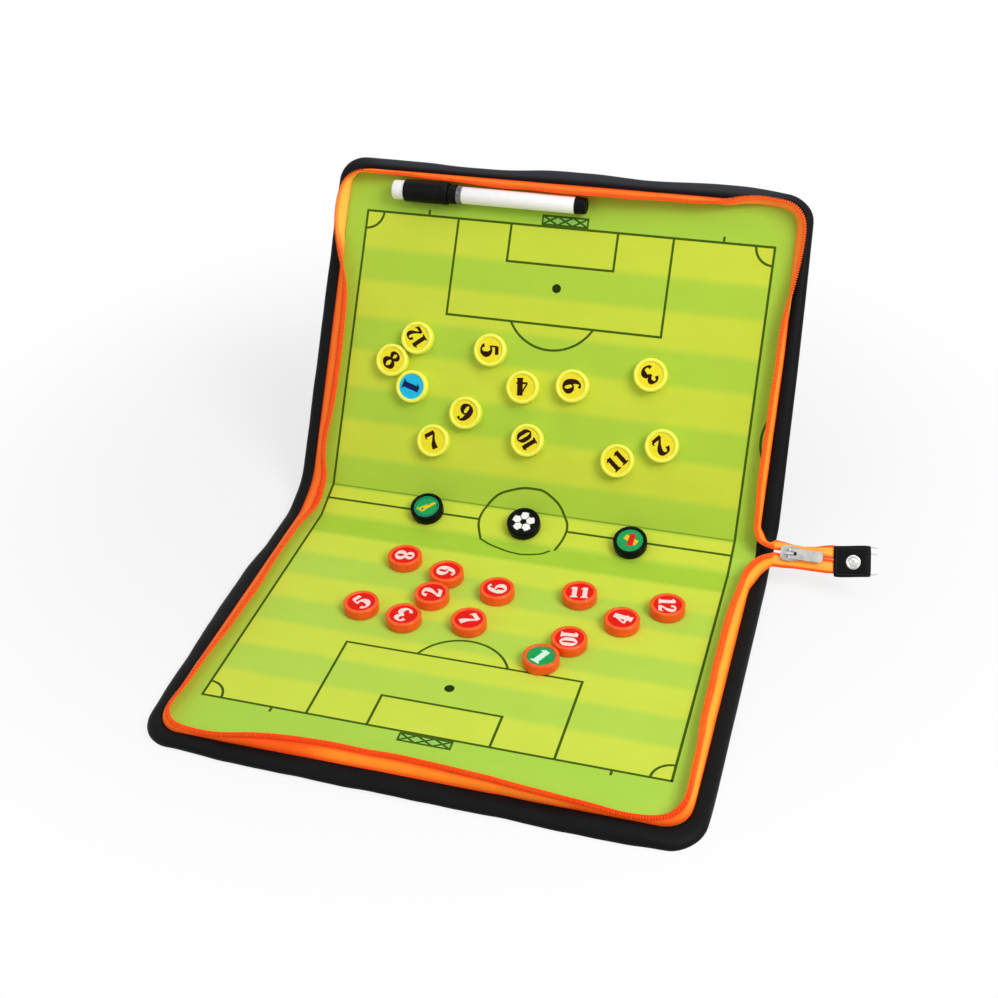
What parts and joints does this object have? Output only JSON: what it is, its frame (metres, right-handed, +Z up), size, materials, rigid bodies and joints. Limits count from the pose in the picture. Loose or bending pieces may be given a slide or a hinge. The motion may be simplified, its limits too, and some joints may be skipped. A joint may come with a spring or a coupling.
{
  "type": "folding tactics board",
  "caption": "Zip-round folding football tactics board: padded black leaves with a printed magnetic pitch, numbered magnetic counters, a capped marker and a zip tail.",
  "frame": {"origin": "centre of the flat underside of the lower leaf, which rests on the table", "axes": "+X to the right along the creases, +Y from the front edge towards the upper leaf, +Z up"},
  "size_m": [0.378, 0.3745, 0.1968],
  "materials": {
    "cover_pu": "fine grain, satin",
    "grey_board": "matt",
    "iron_sheet": "rolled",
    "pitch_film": "satin print",
    "zip_tape": "woven",
    "zip_coil": "moulded",
    "plated_metal": "plated",
    "pen_white": "gloss",
    "pen_black": "gloss",
    "nib_felt": "felt",
    "eraser_felt": "felt",
    "magnet": "sintered",
    "counter_yellow": "moulded gloss",
    "counter_red": "moulded gloss",
    "counter_black": "moulded gloss"
  },
  "bodies": {
    "lower_leaf": {"lower_cover": "cover_pu", "lower_board": "grey_board", "lower_iron_sheet": "iron_sheet", "lower_pitch_film": "pitch_film", "lower_zip_tape": "zip_tape", "lower_zip_coil": "zip_coil"},
    "spine": {"spine_cover": "cover_pu", "spine_iron_strip": "iron_sheet", "spine_pitch_film": "pitch_film", "spine_zip_gusset": "zip_tape", "zip_anchor": "zip_tape"},
    "upper_leaf": {"upper_cover": "cover_pu", "upper_board": "grey_board", "upper_iron_sheet": "iron_sheet", "upper_pitch_film": "pitch_film", "upper_zip_tape": "zip_tape", "upper_zip_coil": "zip_coil"},
    "zip_tail": {"zip_tail_tapes": "zip_tape", "zip_tail_coils": "zip_coil", "zip_tail_tab": "cover_pu", "zip_tail_rivet": "plated_metal"},
    "slider": {"zip_slider": "plated_metal"},
    "pull": {"zip_pull": "plated_metal"},
    "pen": {"pen_barrel": "pen_white", "pen_grip": "pen_black", "pen_nib": "nib_felt", "pen_reservoir": "nib_felt", "pen_end_plug": "pen_black"},
    "pen_cap": {"pen_cap": "pen_black", "pen_cap_magnet": "magnet", "pen_eraser": "eraser_felt"},
    "counter_black_ball": {"token_black_ball": "counter_black"},
    "counter_black_cards": {"token_black_cards": "counter_black"},
    "counter_black_whistle": {"token_black_whistle": "counter_black"},
    "counter_red_01": {"token_red_01": "counter_red"},
    "counter_red_02": {"token_red_02": "counter_red"},
    "counter_red_03": {"token_red_03": "counter_red"},
    "counter_red_04": {"token_red_04": "counter_red"},
    "counter_red_05": {"token_red_05": "counter_red"},
    "counter_red_06": {"token_red_06": "counter_red"},
    "counter_red_07": {"token_red_07": "counter_red"},
    "counter_red_08": {"token_red_08": "counter_red"},
    "counter_red_09": {"token_red_09": "counter_red"},
    "counter_red_10": {"token_red_10": "counter_red"},
    "counter_red_11": {"token_red_11": "counter_red"},
    "counter_red_12": {"token_red_12": "counter_red"},
    "counter_yellow_01": {"token_yellow_01": "counter_yellow"},
    "counter_yellow_02": {"token_yellow_02": "counter_yellow"},
    "counter_yellow_03": {"token_yellow_03": "counter_yellow"},
    "counter_yellow_04": {"token_yellow_04": "counter_yellow"},
    "counter_yellow_05": {"token_yellow_05": "counter_yellow"},
    "counter_yellow_06": {"token_yellow_06": "counter_yellow"},
    "counter_yellow_07": {"token_yellow_07": "counter_yellow"},
    "counter_yellow_08": {"token_yellow_08": "counter_yellow"},
    "counter_yellow_09": {"token_yellow_09": "counter_yellow"},
    "counter_yellow_10": {"token_yellow_10": "counter_yellow"},
    "counter_yellow_11": {"token_yellow_11": "counter_yellow"},
    "counter_yellow_12": {"token_yellow_12": "counter_yellow"}
  },
  "joints": [
    {"name": "fold_lower_crease", "type": "hinge", "parent": "lower_leaf", "child": "spine", "pos_m": [0, 0.1105, 0.0063], "axis": [1, 0, 0], "range_deg": [-20.3, 69.7]},
    {"name": "fold_upper_crease", "type": "hinge", "parent": "spine", "child": "upper_leaf", "pos_m": [0, 0.13489, 0.01532], "axis": [1, 0, 0], "range_deg": [-35.6, 54.4]},
    {"name": "pen_cap_off", "type": "slide", "parent": "pen", "child": "pen_cap", "axis": [-1, 0, 0], "range_m": [0, 0.02]},
    {"name": "pen_glide", "type": "slide", "parent": "upper_leaf", "child": "pen", "axis": [1, 0, 0], "range_m": [0, 0.1]},
    {"name": "pull_flip", "type": "hinge", "parent": "slider", "child": "pull", "pos_m": [0.1705, 0.11773, 0.02485], "axis": [0, -0.6157, -0.788], "range_deg": [0, 150]},
    {"name": "slider_travel", "type": "slide", "parent": "zip_tail", "child": "slider", "axis": [1, 0, 0], "range_m": [0, 0.012]},
    {"name": "tail_flex", "type": "hinge", "parent": "spine", "child": "zip_tail", "pos_m": [0.1604, 0.12041, 0.02276], "axis": [0, -0.6157, -0.788], "range_deg": [-15, 60]},
    {"name": "token_black_ball_glide", "type": "slide", "parent": "spine", "child": "counter_black_ball", "axis": [1, 0, 0], "range_m": [0, 0.04]},
    {"name": "token_black_cards_glide", "type": "slide", "parent": "spine", "child": "counter_black_cards", "axis": [1, 0, 0], "range_m": [0, 0.04]},
    {"name": "token_black_whistle_glide", "type": "slide", "parent": "spine", "child": "counter_black_whistle", "axis": [1, 0, 0], "range_m": [0, 0.04]},
    {"name": "token_red_01_glide", "type": "slide", "parent": "lower_leaf", "child": "counter_red_01", "axis": [0, -1, 0], "range_m": [0, 0.06]},
    {"name": "token_red_02_glide", "type": "slide", "parent": "lower_leaf", "child": "counter_red_02", "axis": [1, 0, 0], "range_m": [0, 0.015]},
    {"name": "token_red_03_glide", "type": "slide", "parent": "lower_leaf", "child": "counter_red_03", "axis": [0, -1, 0], "range_m": [0, 0.06]},
    {"name": "token_red_04_glide", "type": "slide", "parent": "lower_leaf", "child": "counter_red_04", "axis": [0, -1, 0], "range_m": [0, 0.06]},
    {"name": "token_red_05_glide", "type": "slide", "parent": "lower_leaf", "child": "counter_red_05", "axis": [0, -1, 0], "range_m": [0, 0.06]},
    {"name": "token_red_06_glide", "type": "slide", "parent": "lower_leaf", "child": "counter_red_06", "axis": [0, 1, 0], "range_m": [0, 0.025]},
    {"name": "token_red_07_glide", "type": "slide", "parent": "lower_leaf", "child": "counter_red_07", "axis": [0, -1, 0], "range_m": [0, 0.06]},
    {"name": "token_red_08_glide", "type": "slide", "parent": "lower_leaf", "child": "counter_red_08", "axis": [0, -1, 0], "range_m": [0, 0.025]},
    {"name": "token_red_09_glide", "type": "slide", "parent": "lower_leaf", "child": "counter_red_09", "axis": [0, 1, 0], "range_m": [0, 0.025]},
    {"name": "token_red_10_glide", "type": "slide", "parent": "lower_leaf", "child": "counter_red_10", "axis": [0, 1, 0], "range_m": [0, 0.015]},
    {"name": "token_red_11_glide", "type": "slide", "parent": "lower_leaf", "child": "counter_red_11", "axis": [0, 1, 0], "range_m": [0, 0.025]},
    {"name": "token_red_12_glide", "type": "slide", "parent": "lower_leaf", "child": "counter_red_12", "axis": [0, -1, 0], "range_m": [0, 0.06]},
    {"name": "token_yellow_01_glide", "type": "slide", "parent": "upper_leaf", "child": "counter_yellow_01", "axis": [0, -0.5606, -0.8281], "range_m": [0, 0.015]},
    {"name": "token_yellow_02_glide", "type": "slide", "parent": "upper_leaf", "child": "counter_yellow_02", "axis": [0, 0.5606, 0.8281], "range_m": [0, 0.025]},
    {"name": "token_yellow_03_glide", "type": "slide", "parent": "upper_leaf", "child": "counter_yellow_03", "axis": [0, 0.5606, 0.8281], "range_m": [0, 0.06]},
    {"name": "token_yellow_04_glide", "type": "slide", "parent": "upper_leaf", "child": "counter_yellow_04", "axis": [0, 0.5606, 0.8281], "range_m": [0, 0.06]},
    {"name": "token_yellow_05_glide", "type": "slide", "parent": "upper_leaf", "child": "counter_yellow_05", "axis": [0, 0.5606, 0.8281], "range_m": [0, 0.06]},
    {"name": "token_yellow_06_glide", "type": "slide", "parent": "upper_leaf", "child": "counter_yellow_06", "axis": [0, 0.5606, 0.8281], "range_m": [0, 0.06]},
    {"name": "token_yellow_07_glide", "type": "slide", "parent": "upper_leaf", "child": "counter_yellow_07", "axis": [0, -0.5606, -0.8281], "range_m": [0, 0.015]},
    {"name": "token_yellow_08_glide", "type": "slide", "parent": "upper_leaf", "child": "counter_yellow_08", "axis": [-1, 0, 0], "range_m": [0, 0.015]},
    {"name": "token_yellow_09_glide", "type": "slide", "parent": "upper_leaf", "child": "counter_yellow_09", "axis": [0, 0.5606, 0.8281], "range_m": [0, 0.015]},
    {"name": "token_yellow_10_glide", "type": "slide", "parent": "upper_leaf", "child": "counter_yellow_10", "axis": [0, -0.5606, -0.8281], "range_m": [0, 0.025]},
    {"name": "token_yellow_11_glide", "type": "slide", "parent": "upper_leaf", "child": "counter_yellow_11", "axis": [0, 0.5606, 0.8281], "range_m": [0, 0.025]},
    {"name": "token_yellow_12_glide", "type": "slide", "parent": "upper_leaf", "child": "counter_yellow_12", "axis": [0, 0.5606, 0.8281], "range_m": [0, 0.06]}
  ]
}
